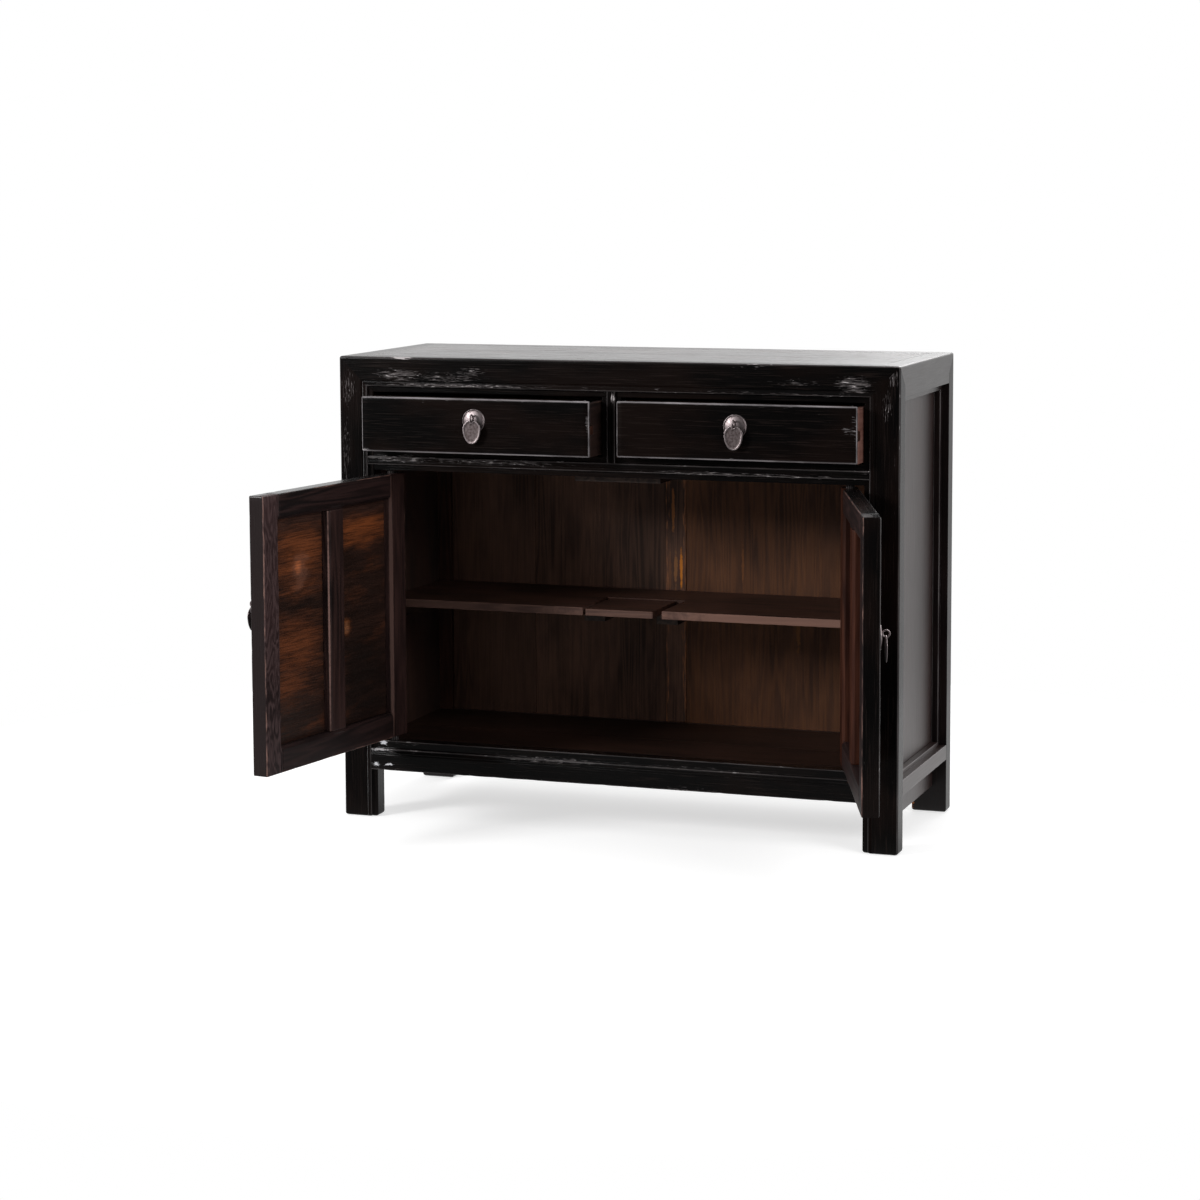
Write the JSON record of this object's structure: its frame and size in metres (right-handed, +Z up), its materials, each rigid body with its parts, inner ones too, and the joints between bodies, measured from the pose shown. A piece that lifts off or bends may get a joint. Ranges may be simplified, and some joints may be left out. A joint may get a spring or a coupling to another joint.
{
  "type": "kang cabinet",
  "caption": "Low rectangular black lacquered cabinet on straight square legs, with a row of drawers over a pair of pivoting framed doors and a shelf inside.",
  "frame": {"origin": "on the floor, under the middle of the whole piece as it stands with its drawers and doors open", "axes": "+X to the viewer's right along the front, +Y to the back, +Z up; the front faces -Y"},
  "size_m": [1.1141, 0.8048, 0.8435],
  "materials": {
    "black_lacquer": "worn glossy black lacquer",
    "inside_wood": "aged dark brown wood",
    "door_panel_wood": "rough orange-brown boards inside, black lacquer outside",
    "drawer_wood": "raw light wood",
    "pull_metal": "worn pale brass"
  },
  "bodies": {
    "case": {"post_front_left": "black_lacquer", "post_front_right": "black_lacquer", "post_back_left": "black_lacquer", "post_back_right": "black_lacquer", "top_rail_front": "black_lacquer", "top_rail_back": "black_lacquer", "top_rail_left": "black_lacquer", "top_rail_right": "black_lacquer", "top_boards": "black_lacquer", "top_battens": "inside_wood", "drawer_rail": "black_lacquer", "drawer_divider": "black_lacquer", "lower_rail_front": "black_lacquer", "lower_rail_back": "black_lacquer", "lower_rail_left": "black_lacquer", "lower_rail_right": "black_lacquer", "side_panel_left": "black_lacquer", "side_panel_right": "black_lacquer", "back_stile": "inside_wood", "back_panel_left": "inside_wood", "back_panel_right": "inside_wood", "floor_boards": "inside_wood", "floor_battens": "inside_wood", "shelf_back_board": "inside_wood", "shelf_front_left": "inside_wood", "shelf_front_middle": "inside_wood", "shelf_front_right": "inside_wood", "shelf_side_bearers": "inside_wood", "shelf_cleats": "inside_wood", "back_drawer_rail": "inside_wood", "middle_runner": "inside_wood", "side_runners": "inside_wood"},
    "left_drawer": {"left_drawer_front": "black_lacquer", "left_drawer_sides": "drawer_wood", "left_drawer_back": "drawer_wood", "left_drawer_bottom": "drawer_wood", "left_drawer_pull_plate": "pull_metal"},
    "left_door": {"left_door_hinge_stile": "black_lacquer", "left_door_free_stile": "black_lacquer", "left_door_middle_stile": "black_lacquer", "left_door_lower_rail": "black_lacquer", "left_door_upper_rail": "black_lacquer", "left_door_panels": "door_panel_wood", "left_door_pull_plate": "pull_metal"},
    "left_drawer_leaf": {"left_drawer_pull_leaf": "pull_metal"},
    "left_door_leaf": {"left_door_pull_leaf": "pull_metal"},
    "right_drawer": {"right_drawer_front": "black_lacquer", "right_drawer_sides": "drawer_wood", "right_drawer_back": "drawer_wood", "right_drawer_bottom": "drawer_wood", "right_drawer_pull_plate": "pull_metal"},
    "right_door": {"right_door_hinge_stile": "black_lacquer", "right_door_free_stile": "black_lacquer", "right_door_middle_stile": "black_lacquer", "right_door_lower_rail": "black_lacquer", "right_door_upper_rail": "black_lacquer", "right_door_panels": "door_panel_wood", "right_door_pull_plate": "pull_metal"},
    "right_drawer_leaf": {"right_drawer_pull_leaf": "pull_metal"},
    "right_door_leaf": {"right_door_pull_leaf": "pull_metal"}
  },
  "joints": [
    {"name": "left_door_hinge", "type": "hinge", "parent": "case", "child": "left_door", "pos_m": [-0.46336, 0.02111, 0.392], "axis": [0, 0, -1], "range_deg": [-98.8, 19.2]},
    {"name": "right_door_hinge", "type": "hinge", "parent": "case", "child": "right_door", "pos_m": [0.39264, 0.02111, 0.392], "axis": [0, 0, 1], "range_deg": [-109.4, 8.6]},
    {"name": "left_drawer_slide", "type": "slide", "parent": "case", "child": "left_drawer", "axis": [0, -1, 0], "range_m": [-0.055, 0.195]},
    {"name": "right_drawer_slide", "type": "slide", "parent": "case", "child": "right_drawer", "axis": [0, -1, 0], "range_m": [-0.032, 0.218]},
    {"name": "left_drawer_leaf_swing", "type": "hinge", "parent": "left_drawer", "child": "left_drawer_leaf", "pos_m": [-0.27236, -0.06324, 0.7427], "axis": [-1, 0, 0], "range_deg": [0, 85]},
    {"name": "right_drawer_leaf_swing", "type": "hinge", "parent": "right_drawer", "child": "right_drawer_leaf", "pos_m": [0.20164, -0.04024, 0.7427], "axis": [-1, 0, 0], "range_deg": [0, 85]},
    {"name": "left_door_leaf_swing", "type": "hinge", "parent": "left_door", "child": "left_door_leaf", "pos_m": [-0.55007, -0.37327, 0.4435], "axis": [0.153, 0.9882, 0], "range_deg": [0, 85]},
    {"name": "right_door_leaf_swing", "type": "hinge", "parent": "right_door", "child": "right_door_leaf", "pos_m": [0.55041, -0.35059, 0.4435], "axis": [0.3322, -0.9432, 0], "range_deg": [0, 85]}
  ]
}
